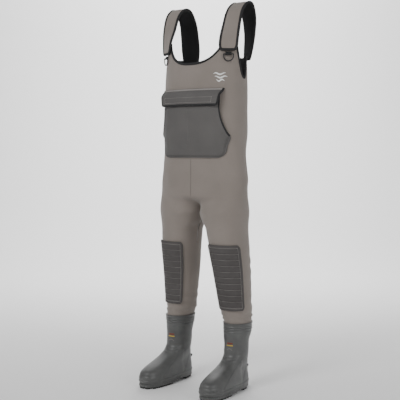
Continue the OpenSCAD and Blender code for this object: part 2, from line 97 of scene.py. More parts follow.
def makeStage():
    mesh = bpy.data.meshes.new("floor")
    bend = 2.2
    profile = [(-6, 0)]
    sweep = [math.pi / 2 * i / 24 for i in range(25)]
    profile += [(3 + bend * math.sin(a), bend - bend * math.cos(a)) for a in sweep]
    profile.append((3 + bend, 9))
    turn = Matrix.Rotation(math.radians(camera["azimuth"]), 3, "Z")
    points = [turn @ Vector((x, y, z)) for y, z in profile for x in (-12, 12)]
    faces = [(2 * i, 2 * i + 1, 2 * i + 3, 2 * i + 2) for i in range(len(profile) - 1)]
    mesh.from_pydata(points, [], faces)
    for polygon in mesh.polygons:
        polygon.use_smooth = True
    floor = bpy.data.objects.new("floor", mesh)
    scene.collection.objects.link(floor)
    paint = bpy.data.materials.new("floorPaint")
    paint.use_nodes = True
    paint.node_tree.nodes["Principled BSDF"].inputs["Base Color"].default_value = (0.86, 0.86, 0.86, 1)
    paint.node_tree.nodes["Principled BSDF"].inputs["Roughness"].default_value = 0.8
    mesh.materials.append(paint)
    world = bpy.data.worlds.new("paleRoom")
    world.use_nodes = True
    world.node_tree.nodes["Background"].inputs["Color"].default_value = (1, 1, 1, 1)
    world.node_tree.nodes["Background"].inputs["Strength"].default_value = 0.45
    scene.world = world
    makeLight("keyLight", (-0.4, -3.2, 2.9), (0, 0, 0.8), 1.6, 70)
    makeLight("sideLight", (3.2, -0.6, 1.6), (0, 0, 0.8), 1.6, 28)
    makeLight("backLight", (-1.5, 2.8, 2.4), (0, 0, 0.9), 1.8, 30)
    behind = turn @ Vector((0, 2.6, 3.6))
    beyond = turn @ Vector((0, 5.2, 1.6))
    makeLight("wallLight", behind, beyond, 3.0, 260)


makeCamera()
makeStage()
print("stage ready")


# node helpers
def addNode(tree, kind, place=(0, 0), **values):
    node = tree.nodes.new(kind)
    node.location = place
    for name, value in values.items():
        setattr(node, name, value)
    return node


def newGroup(name, inputs, outputs):
    tree = bpy.data.node_groups.new(name, "ShaderNodeTree")
    for label, kind, value in inputs:
        socket = tree.interface.new_socket(name=label, in_out="INPUT", socket_type=kind)
        if value is not None:
            socket.default_value = value
    for label, kind in outputs:
        tree.interface.new_socket(name=label, in_out="OUTPUT", socket_type=kind)
    return tree, addNode(tree, "NodeGroupInput", (-900, 0)), addNode(tree, "NodeGroupOutput", (700, 0))


def mathNode(tree, operation, a, b=None, c=None):
    node = addNode(tree, "ShaderNodeMath", operation=operation)
    for i, value in enumerate((a, b, c)):
        if value is None:
            continue
        if hasattr(value, "links"):
            tree.links.new(value, node.inputs[i])
        else:
            node.inputs[i].default_value = value
    return node.outputs[0]


def makeClothGroup():
    # fine knitted face: rows and wales, with soft mottling and scuffs
    tree, start, end = newGroup("knitFace", [
        ("Colour", "NodeSocketColor", (0.3, 0.3, 0.3, 1)),
        ("Deep Colour", "NodeSocketColor", (0.2, 0.2, 0.2, 1)),
        ("Stitch Size", "NodeSocketFloat", 0.0012), ("Mottle", "NodeSocketFloat", 0.3)],
        [("Colour", "NodeSocketColor"), ("Roughness", "NodeSocketFloat"), ("Height", "NodeSocketFloat")])
    links = tree.links
    coords = addNode(tree, "ShaderNodeTexCoord", (-1100, -200))
    split = addNode(tree, "ShaderNodeSeparateXYZ", (-900, -300))
    links.new(coords.outputs["Object"], split.inputs[0])
    turn = mathNode(tree, "DIVIDE", 6.2832, start.outputs["Stitch Size"])
    around = mathNode(tree, "ADD", split.outputs[0], split.outputs[1])
    rows = mathNode(tree, "SINE", mathNode(tree, "MULTIPLY", split.outputs[2], turn))
    wales = mathNode(tree, "SINE", mathNode(tree, "MULTIPLY", around, turn))
    knit = mathNode(tree, "MULTIPLY", rows, wales)
    blot = addNode(tree, "ShaderNodeTexNoise", (-700, 200))
    blot.inputs["Scale"].default_value = 7
    blot.inputs["Detail"].default_value = 6
    links.new(coords.outputs["Object"], blot.inputs["Vector"])
    fine = addNode(tree, "ShaderNodeTexNoise", (-700, 0))
    fine.inputs["Scale"].default_value = 420
    fine.inputs["Detail"].default_value = 3
    links.new(coords.outputs["Object"], fine.inputs["Vector"])
    shade = mathNode(tree, "MULTIPLY_ADD", mathNode(tree, "SUBTRACT", blot.outputs[0], 0.5),
                     start.outputs["Mottle"], mathNode(tree, "MULTIPLY", fine.outputs[0], 0.42))
    shade = mathNode(tree, "ADD", shade, mathNode(tree, "MULTIPLY", knit, 0.06))
    blend = addNode(tree, "ShaderNodeMix", (300, 200), data_type="RGBA")
    links.new(mathNode(tree, "MINIMUM", mathNode(tree, "MAXIMUM", shade, 0.0), 1.0), blend.inputs["Factor"])
    links.new(start.outputs["Colour"], blend.inputs["A"])
    links.new(start.outputs["Deep Colour"], blend.inputs["B"])
    links.new(blend.outputs["Result"], end.inputs["Colour"])
    links.new(mathNode(tree, "MULTIPLY_ADD", blot.outputs[0], 0.14, 0.78), end.inputs["Roughness"])
    links.new(mathNode(tree, "MULTIPLY_ADD", fine.outputs[0], 0.7, mathNode(tree, "MULTIPLY", knit, 0.5)),
              end.inputs["Height"])
    return tree


def makeRubberGroup():
    # moulded rubber: fine grain, bloom in the hollows and dusty patches
    tree, start, end = newGroup("rubberFace", [
        ("Colour", "NodeSocketColor", (0.1, 0.1, 0.1, 1)),
        ("Bloom Colour", "NodeSocketColor", (0.2, 0.2, 0.2, 1)),
        ("Grain Scale", "NodeSocketFloat", 260.0), ("Bloom", "NodeSocketFloat", 0.5)],
        [("Colour", "NodeSocketColor"), ("Roughness", "NodeSocketFloat"), ("Height", "NodeSocketFloat")])
    links = tree.links
    coords = addNode(tree, "ShaderNodeTexCoord", (-1100, -200))
    grain = addNode(tree, "ShaderNodeTexNoise", (-700, 0))
    grain.inputs["Detail"].default_value = 4
    links.new(start.outputs["Grain Scale"], grain.inputs["Scale"])
    links.new(coords.outputs["Object"], grain.inputs["Vector"])
    cloud = addNode(tree, "ShaderNodeTexNoise", (-700, 300))
    cloud.inputs["Scale"].default_value = 16
    cloud.inputs["Detail"].default_value = 7
    links.new(coords.outputs["Object"], cloud.inputs["Vector"])
    hollow = mathNode(tree, "SUBTRACT", cloud.outputs[0], 0.32)
    amount = mathNode(tree, "MULTIPLY", hollow, start.outputs["Bloom"])
    blend = addNode(tree, "ShaderNodeMix", (300, 200), data_type="RGBA")
    links.new(mathNode(tree, "MINIMUM", mathNode(tree, "MAXIMUM", amount, 0.0), 1.0), blend.inputs["Factor"])
    links.new(start.outputs["Colour"], blend.inputs["A"])
    links.new(start.outputs["Bloom Colour"], blend.inputs["B"])
    links.new(blend.outputs["Result"], end.inputs["Colour"])
    links.new(mathNode(tree, "MULTIPLY_ADD", cloud.outputs[0], 0.25, 0.36), end.inputs["Roughness"])
    links.new(grain.outputs[0], end.inputs["Height"])
    return tree


knitFace = makeClothGroup()
rubberFace = makeRubberGroup()


def makeMaterial(name, group, values, bumpDistance, bumpStrength, **surface):
    paint = bpy.data.materials.new(name)
    paint.use_nodes = True
    tree = paint.node_tree
    shader = tree.nodes["Principled BSDF"]
    face = addNode(tree, "ShaderNodeGroup", (-500, 100), node_tree=group)
    for label, value in values.items():
        face.inputs[label].default_value = value
    bump = addNode(tree, "ShaderNodeBump", (-200, -200))
    bump.inputs["Distance"].default_value = bumpDistance
    bump.inputs["Strength"].default_value = bumpStrength
    tree.links.new(face.outputs["Colour"], shader.inputs["Base Color"])
    tree.links.new(face.outputs["Roughness"], shader.inputs["Roughness"])
    tree.links.new(face.outputs["Height"], bump.inputs["Height"])
    tree.links.new(bump.outputs["Normal"], shader.inputs["Normal"])
    for label, value in surface.items():
        shader.inputs[label.replace("_", " ")].default_value = value
    return paint


def knit(name, colour, deep, stitchSize, mottle, bumpDistance, bumpStrength, **surface):
    values = {"Colour": (*colour, 1), "Deep Colour": (*deep, 1), "Stitch Size": stitchSize, "Mottle": mottle}
    return name, makeMaterial(name, knitFace, values, bumpDistance, bumpStrength, **surface)


def rubber(name, colour, bloomColour, grain, bloom, bumpDistance, bumpStrength, **surface):
    values = {"Colour": (*colour, 1), "Bloom Colour": (*bloomColour, 1), "Grain Scale": grain, "Bloom": bloom}
    return name, makeMaterial(name, rubberFace, values, bumpDistance, bumpStrength, **surface)


finish = dict((
    knit("foamCloth", (0.235, 0.203, 0.180), (0.150, 0.129, 0.113), 0.0016, 0.9, 0.0004, 0.5,
         Sheen_Weight=0.25, Sheen_Roughness=0.5),
    knit("lining", (0.012, 0.012, 0.013), (0.006, 0.006, 0.006), 0.0024, 0.6, 0.0005, 0.5),
    knit("pocketCloth", (0.100, 0.095, 0.092), (0.058, 0.055, 0.054), 0.001, 1.1, 0.0003, 0.35,
         Sheen_Weight=0.1, Sheen_Roughness=0.4),
    knit("kneeCloth", (0.072, 0.066, 0.064), (0.042, 0.038, 0.037), 0.001, 1.0, 0.0003, 0.4),
    knit("bindingTape", (0.014, 0.014, 0.015), (0.007, 0.007, 0.007), 0.0018, 0.5, 0.0004, 0.6),
    knit("thread", (0.05, 0.047, 0.045), (0.03, 0.03, 0.03), 0.0008, 0.3, 0.0002, 0.4),
    knit("paleThread", (0.27, 0.25, 0.24), (0.16, 0.15, 0.14), 0.0008, 0.3, 0.0002, 0.4),
    rubber("bootRubber", (0.052, 0.053, 0.052), (0.120, 0.123, 0.119), 340.0, 1.5, 0.0003, 0.3,
         Coat_Weight=0.25, Coat_Roughness=0.32),
    rubber("soleRubber", (0.012, 0.012, 0.012), (0.04, 0.04, 0.04), 200.0, 0.5, 0.0004, 0.4),
    rubber("ringPlastic", (0.010, 0.010, 0.011), (0.03, 0.03, 0.03), 150.0, 0.3, 0.0001, 0.2),
    # painted highlight colour: pale grey for the lines of light on the knee pad ridges
    rubber("paintedRidgeHighlight", (0.175, 0.163, 0.156), (0.26, 0.242, 0.232), 260.0, 0.8, 0.0001, 0.3),
    knit("webbing", (0.016, 0.016, 0.017), (0.006, 0.006, 0.006), 0.0012, 0.4, 0.0005, 0.8),
    knit("hookLoop", (0.020, 0.020, 0.021), (0.005, 0.005, 0.005), 0.0009, 1.2, 0.0007, 0.9),
    knit("insoleFelt", (0.06, 0.06, 0.062), (0.03, 0.03, 0.03), 0.0012, 1.5, 0.0006, 0.7),
    knit("whitePrint", (0.80, 0.80, 0.79), (0.6, 0.6, 0.59), 0.0016, 0.4, 0.0002, 0.3),
    rubber("redPrint", (0.17, 0.035, 0.025), (0.2, 0.06, 0.03), 200.0, 0.5, 0.0001, 0.2),
    rubber("yellowPrint", (0.62, 0.42, 0.03), (0.4, 0.3, 0.05), 200.0, 0.5, 0.0001, 0.2),
))
print("materials ready")


# the garment's shape, in millimetres as it was cut
bodyPlan = {
    "crotch": 776, "fork": 712, "neck": 1304, "tab": 1394, "arm": 1250, "back": 1290, "backRise": 44,
    "legEnd": 250, "cloth": 5, "bodyPower": 2.4, "legPower": 2.2,
    "girths": [(776, 200, -51, 132), (850, 198, -50, 132), (940, 186, -50, 140), (1020, 182, -54, 162),
               (1120, 184, -60, 163), (1230, 180, -58, 166), (1300, 178, -50, 163), (1400, 172, -32, 156)],
    "legs": [(270, 142, 73, 55, 66), (300, 140, 75, 57, 67), (360, 135, 71, 61, 70), (480, 126, 62, 71, 77),
             (590, 118, 49, 77, 86), (650, 111, 45, 82, 89), (712, 100, 42, 100, 94)],
}
bootPlan = {"x": 147, "length": 297, "width": 101, "height": 272, "rubber": 4, "toeOut": 4}
bootPlan["toe"] = -bootPlan["length"] / 2 - 21
bootPlan["heel"] = bootPlan["length"] / 2 - 21


def bootStations():
    toe, heel = bootPlan["toe"], bootPlan["heel"]
    front, half = toe + 176, bootPlan["width"] / 1.72
    return [(17, toe + 6, heel - 3, half - 2, 1), (30, toe + 1, heel, half, 1), (50, toe, heel, half - 1, 1),
            (66, toe + 7, heel - 1, half - 5, 0.95), (80, toe + 39, heel - 3, half - 8, 0.85),
            (95, toe + 88, heel - 5, half - 10, 0.7), (112, toe + 134, heel - 7, 48, 0.45),
            (130, toe + 162, heel - 8, 47.5, 0.2), (152, front - 3, heel - 6, 47, 0),
            (190, front, heel - 3, 48, 0), (230, front + 1, heel + 7, 53, 0),
            (272, front, heel + 14, 57.5, 0)]


def rowAt(rows, z):
    # smooth curve through the rows, whose first column is the height
    i = 0
    while i < len(rows) - 2 and z > rows[i + 1][0]:
        i += 1
    a, b = rows[i], rows[i + 1]
    before, after = rows[max(i - 1, 0)], rows[min(i + 2, len(rows) - 1)]
    h = b[0] - a[0]
    u = clamp((z - a[0]) / h)
    result = []
    for k in range(len(a)):
        slopeA = (b[k] - before[k]) / (b[0] - before[0])
        slopeB = (after[k] - a[k]) / (after[0] - a[0])
        result.append(a[k] * (1 + 2 * u) * (1 - u) ** 2 + slopeA * h * u * (1 - u) ** 2
                      + b[k] * u * u * (3 - 2 * u) + slopeB * h * u * u * (u - 1))
    return result


def bodyPoint(z, t, off):
    r = rowAt(bodyPlan["girths"], z)
    p = 2 / bodyPlan["bodyPower"]
    a = math.pi * t
    return Vector(((r[1] + off) * signedPower(math.sin(a), p),
                   (r[2] + r[3]) / 2 - ((r[3] - r[2]) / 2 + off) * signedPower(math.cos(a), p), z))


def footShape(a):
    return signedPower(math.sin(a), 0.75) * (0.9 + 0.1 * math.cos(a) + 0.06 * math.cos(2 * a))


def bootPoint(z, a, off):
    r = rowAt(bootStations(), z)
    y = (r[1] + r[2]) / 2 - ((r[2] - r[1]) / 2 + off) * math.cos(a)
    x = bootPlan["x"] - y / bootPlan["length"] * 2 * bootPlan["toeOut"]
    return Vector((x + (r[3] + off) * mix(math.sin(a), footShape(a), r[4]), y, z))


def legPoint(z, t, off):
    r = rowAt(bodyPlan["legs"], z)
    p = 2 / bodyPlan["legPower"]
    a = 2 * math.pi * t
    k = ease((z - bootPlan["height"]) / 28)
    free = Vector((r[1] - (r[3] + off) * signedPower(math.cos(a), p),
                   r[2] - (r[4] + off) * signedPower(math.sin(a), p), z))
    tucked = bootPoint(min(z, bootPlan["height"]), a - math.pi / 2, off - bootPlan["rubber"] - 0.4)
    point = tucked.lerp(free, k)
    point.z = z
    return point


def halfPoint(z, t, off):
    # left half of the garment: t is 0 at the centre front or inseam, and comes round to 1
    if z <= bodyPlan["fork"]:
        return legPoint(z, t, off)
    if z >= bodyPlan["crotch"]:
        return bodyPoint(z, t, off)
    s = (bodyPlan["crotch"] - z) / (bodyPlan["crotch"] - bodyPlan["fork"])
    low = legPoint(bodyPlan["fork"], t, off)
    point = bodyPoint(bodyPlan["crotch"], t, off).lerp(low, math.sin(math.pi / 2 * s))
    point.z = z
    return point


def frontY(x, z, off):
    r = rowAt(bodyPlan["girths"], z)
    power = bodyPlan["bodyPower"]
    share = max(0, 1 - min(1, abs(x) / (r[1] + off)) ** power) ** (1 / power)
    return (r[2] + r[3]) / 2 - ((r[3] - r[2]) / 2 + off) * share


def topEdge(a):
    # height of the cut edge, a degrees round from the centre front
    p = bodyPlan
    corner = p["back"] + p["backRise"]
    if a < 48:
        return mix(p["neck"], p["tab"], (a / 48) ** 2.3)
    if a < 70:
        return p["tab"]
    if a < 93:
        return mix(p["tab"], p["arm"], ease((a - 70) / 22))
    if a < 142:
        return mix(p["arm"], corner, ease((a - 93) / 11))
    return mix(corner, p["back"], ease((a - 142) / 26))


# mesh helpers
def newPiece(name, points, faces, materials, faceSlots=None, smooth=True, scale=mm):
    mesh = bpy.data.meshes.new(name)
    mesh.from_pydata([Vector(p) * scale for p in points], [], faces)
    for label in materials:
        mesh.materials.append(finish[label])
    for i, polygon in enumerate(mesh.polygons):
        polygon.use_smooth = smooth
        if faceSlots:
            polygon.material_index = faceSlots[i]
    mesh.update()
    obj = bpy.data.objects.new(name, mesh)
    scene.collection.objects.link(obj)
    return obj


def mirrored(obj, name):
    mesh = obj.data.copy()
    mesh.name = name
    for vertex in mesh.vertices:
        vertex.co.x = -vertex.co.x
    mesh.flip_normals()
    copy = bpy.data.objects.new(name, mesh)
    scene.collection.objects.link(copy)
    return copy


def pairOf(left, name):
    # the left piece, and its mirror image for the right
    return (("left", left), ("right", mirrored(left, "right_" + name)))


def tidyNormals(obj):
    work = bmesh.new()
    work.from_mesh(obj.data)
    bmesh.ops.remove_doubles(work, verts=work.verts, dist=0.00002)
    bmesh.ops.recalc_face_normals(work, faces=work.faces)
    work.to_mesh(obj.data)
    work.free()
    obj.data.update()


def joinPieces(name, objects):
    # several meshes made one piece
    work = bmesh.new()
    materials = []
    for obj in objects:
        start = len(work.faces)
        work.from_mesh(obj.data)
        work.faces.ensure_lookup_table()
        for face in work.faces[start:]:
            material = obj.data.materials[face.material_index]
            if material not in materials:
                materials.append(material)
            face.material_index = materials.index(material)
    mesh = bpy.data.meshes.new(name)
    work.to_mesh(mesh)
    work.free()
    for material in materials:
        mesh.materials.append(material)
    for obj in objects:
        bpy.data.objects.remove(obj)
    joined = bpy.data.objects.new(name, mesh)
    scene.collection.objects.link(joined)
    return joined


def slabPiece(name, outer, inner, materials, rimSlot=2, backSlot=1):
    # closed sheet between two grids of points: face, back and rim can differ
    rows, cols = len(outer), len(outer[0])
    count = rows * cols
    points = [p for row in outer for p in row] + [p for row in inner for p in row]
    faces, slots = [], []
    for i in range(rows - 1):
        for j in range(cols - 1):
            a = i * cols + j
            faces += [(a, a + 1, a + 1 + cols, a + cols),
                      (a + count, a + cols + count, a + 1 + cols + count, a + 1 + count)]
            slots += [0, backSlot]
    border = list(range(cols)) + [i * cols + cols - 1 for i in range(1, rows)]
    border += [(rows - 1) * cols + j for j in range(cols - 2, -1, -1)]
    border += [i * cols for i in range(rows - 2, 0, -1)]
    for i, a in enumerate(border):
        b = border[(i + 1) % len(border)]
        faces.append((a, a + count, b + count, b))
        slots.append(rimSlot)
    obj = newPiece(name, points, faces, materials, slots)
    tidyNormals(obj)
    return obj


def sweepPiece(name, path, normals, profile, materials, closed=False):
    # profile points are (across the edge, out of the face) in millimetres
    rings = []
    count = len(path)
    for i, point in enumerate(path):
        before = path[(i - 1) % count] if closed or i > 0 else path[i]
        after = path[(i + 1) % count] if closed or i < count - 1 else path[i]
        along = (after - before).normalized()
        out = (normals[i] - along * normals[i].dot(along)).normalized()
        side = out.cross(along)
        rings.append([point + side * a + out * b for a, b in profile])
    n = len(profile)
    points = [p for ring in rings for p in ring]
    faces = []
    for i in range(count if closed else count - 1):
        for j in range(n):
            a, b = i * n, ((i + 1) % count) * n
            faces.append((a + j, b + j, b + (j + 1) % n, a + (j + 1) % n))
    if not closed:
        faces.append(tuple(range(n)))
        faces.append(tuple(reversed(range((count - 1) * n, count * n))))
    obj = newPiece(name, points, faces, materials)
    tidyNormals(obj)
    return obj


def roundBar(wide, thick, low=0.0, steps=5):
    # rounded oblong section, from low to low + wide across and centred out of the face
    r = thick / 2
    points = []
    for k in range(steps + 1):
        a = math.pi / 2 - math.pi * k / steps
        points.append((low + wide - r + r * math.cos(a), r * math.sin(a)))
    for k in range(steps + 1):
        a = -math.pi / 2 - math.pi * k / steps
        points.append((low + r + r * math.cos(a), r * math.sin(a)))
    return points


# main body and legs
bodyMesh = {"turns": 76, "fold": 1.0, "panelTop": 1215, "edgeLift": 3}


def foldDepth(z, t, side):
    # soft wrinkles of the foam cloth, in millimetres: ankle bunching, knee backs, crotch pulls, waist
    a = 2 * math.pi * t
    seed = 3.7 if side > 0 else 11.3
    drift = noise.noise(Vector((z * 0.012, math.cos(a) * 1.3, seed)))
    depth = 2.6 * bell(z, 292, 17) * math.sin(z * 0.30 + 1.2 * math.sin(a + seed) + 2 * drift)
    depth += 1.6 * bell(z, 345, 40) * math.sin(z * 0.13 + 2.2 * math.cos(a) + seed + 3 * drift)
    back = 0.5 - 0.5 * math.cos(2 * math.pi * clamp((t - 0.45) / 0.5)) if t > 0.45 else 0.0
    if z < bodyPlan["fork"]:
        depth += 2.4 * back * bell(z, 505, 60) * math.sin(z * 0.12 + 4 * t + 2 * drift)
    pull = bell(t, 0.07, 0.09) + bell(t, 0.93, 0.09)
    depth += 3.0 * pull * bell(z, 700, 60) * math.sin(z * 0.085 + 9 * t + drift * 3) * (1 if z < 776 else 0.6)
    depth += 1.5 * bell(z, 845, 85) * math.sin(z * 0.035 + 5 * math.cos(math.pi * t) + seed + 3 * drift)
    depth += 1.1 * bell(z, 1060, 200) * drift * 2
    return bodyMesh["fold"] * depth


def bodyRows():
    plan = bodyPlan
    rows = rangeOf(plan["legEnd"], plan["fork"], 60)
    drop = plan["crotch"] - plan["fork"]
    steps = list(range(82, 17, -8)) + [9]
    rows += [plan["crotch"] - drop * math.sin(math.radians(q)) for q in steps]
    return rows + rangeOf(plan["crotch"], bodyMesh["panelTop"], 50)


def makeBody():
    turns, lift = bodyMesh["turns"], bodyMesh["edgeLift"]
    ts = [0.5 - 0.5 * math.cos(math.pi * i / turns) for i in range(turns + 1)]
    ts = [mix(i / turns, t, 0.35) for i, t in enumerate(ts)]
    parts = []
    for side in (1, -1):
        grid = []
        for z in bodyRows():
            grid.append([(z, t) for t in ts])
        for k in (0.2, 0.4, 0.6, 0.8, 1.0):
            grid.append([(mix(bodyMesh["panelTop"], topEdge(180 * t) + lift, k), t) for t in ts])
        points, faces = [], []
        for row in grid:
            for z, t in row:
                seamHold = 1.0 if z < bodyPlan["fork"] else clamp(min(t, 1 - t) / 0.04)
                topHold = clamp((topEdge(180 * t) + lift - z) / 40) if z > 1150 else 1.0
                p = halfPoint(z, t, foldDepth(z, t, side) * seamHold * topHold)
                if z >= bodyPlan["fork"] and t in (0, 1):
                    p.x = 0
                points.append((side * p.x, p.y, p.z))
        for i in range(len(grid) - 1):
            for j in range(turns):
                a = i * (turns + 1) + j
                quad = (a, a + 1, a + turns + 2, a + turns + 1)
                faces.append(quad if side > 0 else tuple(reversed(quad)))
        parts.append(newPiece("bodyHalf", points, faces, ["foamCloth"]))
    body = joinPieces("waders_body", parts)
    work = bmesh.new()
    work.from_mesh(body.data)
    bmesh.ops.remove_doubles(work, verts=work.verts, dist=0.00005)
    bmesh.ops.recalc_face_normals(work, faces=work.faces)
    # outward at the chest
    low = min(work.faces, key=lambda f: f.calc_center_median().y + abs(f.calc_center_median().z - 1.2))
    if low.normal.y > 0:
        bmesh.ops.reverse_faces(work, faces=work.faces)
    for face in work.faces:
        face.smooth = True
    work.to_mesh(body.data)
    work.free()
    body.data.materials.append(finish["lining"])
    wall = body.modifiers.new("wall", "SOLIDIFY")
    wall.thickness = bodyPlan["cloth"] * mm * 0.9
    wall.offset = -1
    wall.material_offset = 1
    wall.use_rim = True
    wall.material_offset_rim = 1
    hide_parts("left_front_body", "right_front_body", "left_back_body", "right_back_body",
                "left_leg_front", "right_leg_front", "left_leg_back", "right_leg_back")
    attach(body, "waders")
    return body


makeBody()
print("body and legs made")


# bindings along the garment's edges
edgeBinding = {"down": 9, "up": 3.4, "thick": 9}


def edgePath(start, end, count):
    path, normals = [], []
    for t in rangeOf(start, end, count):
        z = topEdge(180 * t) + bodyMesh["edgeLift"]
        path.append(bodyPoint(z, t, -bodyPlan["cloth"] / 2))
        normals.append((bodyPoint(z, t, 2) - bodyPoint(z, t, -2)).normalized())
    return path, normals


def flipX(vectors):
    return [Vector((-v.x, v.y, v.z)) for v in vectors]


def makeEdgeBindings():
    profile = roundBar(edgeBinding["down"] + edgeBinding["up"], edgeBinding["thick"], -edgeBinding["down"])
    for name, start, end in (("front_neck_binding", 0, 8 / 30), ("back_neck_binding", 1, 24 / 30)):
        path, normals = edgePath(start, end, 40)
        path = list(reversed(flipX(path)))[:-1] + path
        normals = list(reversed(flipX(normals)))[:-1] + normals
        if name.startswith("back"):
            path.reverse()
            normals.reverse()
        piece = sweepPiece(name + "_tape", path, normals, profile, ["bindingTape"])
        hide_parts(name)
        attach(piece, "waders")
    path, normals = edgePath(70 / 180, 118 / 180, 60)
    left = sweepPiece("left_armhole_binding_tape", path, normals, profile, ["bindingTape"])
    for side, piece in pairOf(left, "armhole_binding_tape"):
        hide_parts(side + "_armhole_binding")
        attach(piece, "waders")


makeEdgeBindings()
print("edge bindings made")


# shoulder straps
strapPlan = {"width": 74, "thick": 6, "rows": [
    (150, -8.5, 1352, 33), (151, -2, 1400, 27), (152, 13, 1450, 13), (153, 34, 1505, 6),
    (154, 62, 1535, 2), (155, 90, 1545, 0), (154, 116, 1533, -6), (152, 138, 1490, -14),
    (149, 146, 1435, -24), (144, 146, 1380, -30), (139, 141, 1326, -34)]}


def strapRow(s):
    rows = strapPlan["rows"]
    f = clamp(s) * (len(rows) - 1)
    i = min(int(f), len(rows) - 2)
    u = f - i
    a, b, c, d = (rows[max(i - 1, 0)], rows[i], rows[i + 1], rows[min(i + 2, len(rows) - 1)])
    return [(2 * b[k] + (c[k] - a[k]) * u + (2 * a[k] - 5 * b[k] + 4 * c[k] - d[k]) * u * u
             + (3 * b[k] - a[k] - 3 * c[k] + d[k]) * u ** 3) / 2 for k in range(4)]


def strapFrame(s):
    x, y, z, turn = strapRow(s)
    side = Vector((math.cos(math.radians(turn)), math.sin(math.radians(turn)), 0))
    ahead, behind = strapRow(min(1, s + 0.01)), strapRow(max(0, s - 0.01))
    out = side.cross(Vector(ahead[:3]) - Vector(behind[:3])).normalized()
    return Vector((x, y, z)), side, out


def strapHalf(s):
    tip = 0.6 + 0.4 * math.sqrt(1 - (1 - s / 0.07) ** 2) if s < 0.07 else 1
    return strapPlan["width"] / 2 * tip * (1 - 0.16 * ease((s - 0.88) / 0.12))


def strapPoint(s, w, off):
    spot, side, out = strapFrame(s)
    return spot + side * w + out * off


def makeStraps():
    steps = [0, 0.004, 0.01, 0.02, 0.032, 0.045, 0.058, 0.07] + rangeOf(0.085, 1, 84)
    outer, inner = [], []
    for s in steps:
        half = strapHalf(s)
        rowOut, rowIn = [], []
        for k in rangeOf(-1, 1, 20):
            crown = 0.9 * (1 - k * k) + 0.5 * math.sin(60 * s) * (1 - k * k) * bell(s, 0.45, 0.3)
            rowOut.append(strapPoint(s, k * half, strapPlan["thick"] - 0.9 + crown))
            rowIn.append(strapPoint(s, k * half, 0.2))
        outer.append(rowOut)
        inner.append(rowIn)
    left = slabPiece("left_strap_cloth", outer, inner, ["foamCloth", "lining", "bindingTape"])
    edge = [s for s in steps if s <= 0.985]
    mid = strapPlan["thick"] / 2
    tips = [strapPoint(0, k * strapHalf(0), mid) for k in rangeOf(-1, 1, 8)[1:-1]]
    path = [strapPoint(s, strapHalf(s), mid) for s in reversed(edge)]
    path += list(reversed(tips)) + [strapPoint(s, -strapHalf(s), mid) for s in edge]
    normals = [strapFrame(s)[2] for s in reversed(edge)] + [strapFrame(0)[2]] * len(tips)
    normals += [strapFrame(s)[2] for s in edge]
    bound = sweepPiece("left_strap_binding_tape", path, normals, roundBar(11.5, 8.8, -9.5), ["bindingTape"])
    for side in ("left", "right"):
        strap = left if side == "left" else mirrored(left, "right_strap_cloth")
        tape = bound if side == "left" else mirrored(bound, "right_strap_binding_tape")
        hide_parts(side + "_strap")
        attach(strap, side + "_shoulder")
        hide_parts(side + "_strap_binding")
        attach(tape, side + "_shoulder")


makeStraps()
print("straps made")


# stitches by geometry nodes: small thread bars along a curve
def makeStitchTree():
    tree = bpy.data.node_groups.new("stitchRow", "GeometryNodeTree")
    face = tree.interface
    face.new_socket(name="Geometry", in_out="INPUT", socket_type="NodeSocketGeometry")
    for label, value in (("Pitch", 0.004), ("Stitch Length", 0.003), ("Thread Radius", 0.0004)):
        face.new_socket(name=label, in_out="INPUT", socket_type="NodeSocketFloat").default_value = value
    face.new_socket(name="Thread", in_out="INPUT", socket_type="NodeSocketMaterial")
    face.new_socket(name="Geometry", in_out="OUTPUT", socket_type="NodeSocketGeometry")
    start = addNode(tree, "NodeGroupInput", (-800, 0))
    end = addNode(tree, "NodeGroupOutput", (800, 0))
    links = tree.links
    curve = addNode(tree, "GeometryNodeMeshToCurve", (-600, 0))
    links.new(start.outputs["Geometry"], curve.inputs["Mesh"])
    spaced = addNode(tree, "GeometryNodeResampleCurve", (-400, 0), mode="LENGTH")
    links.new(curve.outputs["Curve"], spaced.inputs["Curve"])
    links.new(start.outputs["Pitch"], spaced.inputs["Length"])
    bar = addNode(tree, "GeometryNodeMeshCylinder", (-400, -300))
    bar.inputs["Vertices"].default_value = 5
    links.new(start.outputs["Thread Radius"], bar.inputs["Radius"])
    links.new(start.outputs["Stitch Length"], bar.inputs["Depth"])
    along = addNode(tree, "GeometryNodeInputTangent", (-400, 300))
    turn = addNode(tree, "FunctionNodeAlignRotationToVector", (-200, 300), axis="Z")
    links.new(along.outputs["Tangent"], turn.inputs["Vector"])
    place = addNode(tree, "GeometryNodeInstanceOnPoints", (0, 0))
    links.new(spaced.outputs["Curve"], place.inputs["Points"])
    links.new(bar.outputs["Mesh"], place.inputs["Instance"])
    links.new(turn.outputs["Rotation"], place.inputs["Rotation"])
    real = addNode(tree, "GeometryNodeRealizeInstances", (200, 0))
    links.new(place.outputs["Instances"], real.inputs["Geometry"])
    paint = addNode(tree, "GeometryNodeSetMaterial", (400, 0))
    links.new(real.outputs["Geometry"], paint.inputs["Geometry"])
    links.new(start.outputs["Thread"], paint.inputs["Material"])
    links.new(paint.outputs["Geometry"], end.inputs["Geometry"])
    return tree


stitchTree = makeStitchTree()


def bake(obj, name):
    # modifiers applied into a plain mesh
    bpy.context.view_layer.update()
    ready = obj.evaluated_get(bpy.context.evaluated_depsgraph_get())
    mesh = bpy.data.meshes.new_from_object(ready)
    plain = bpy.data.objects.new(name, mesh)
    scene.collection.objects.link(plain)
    bpy.data.objects.remove(obj)
    return plain


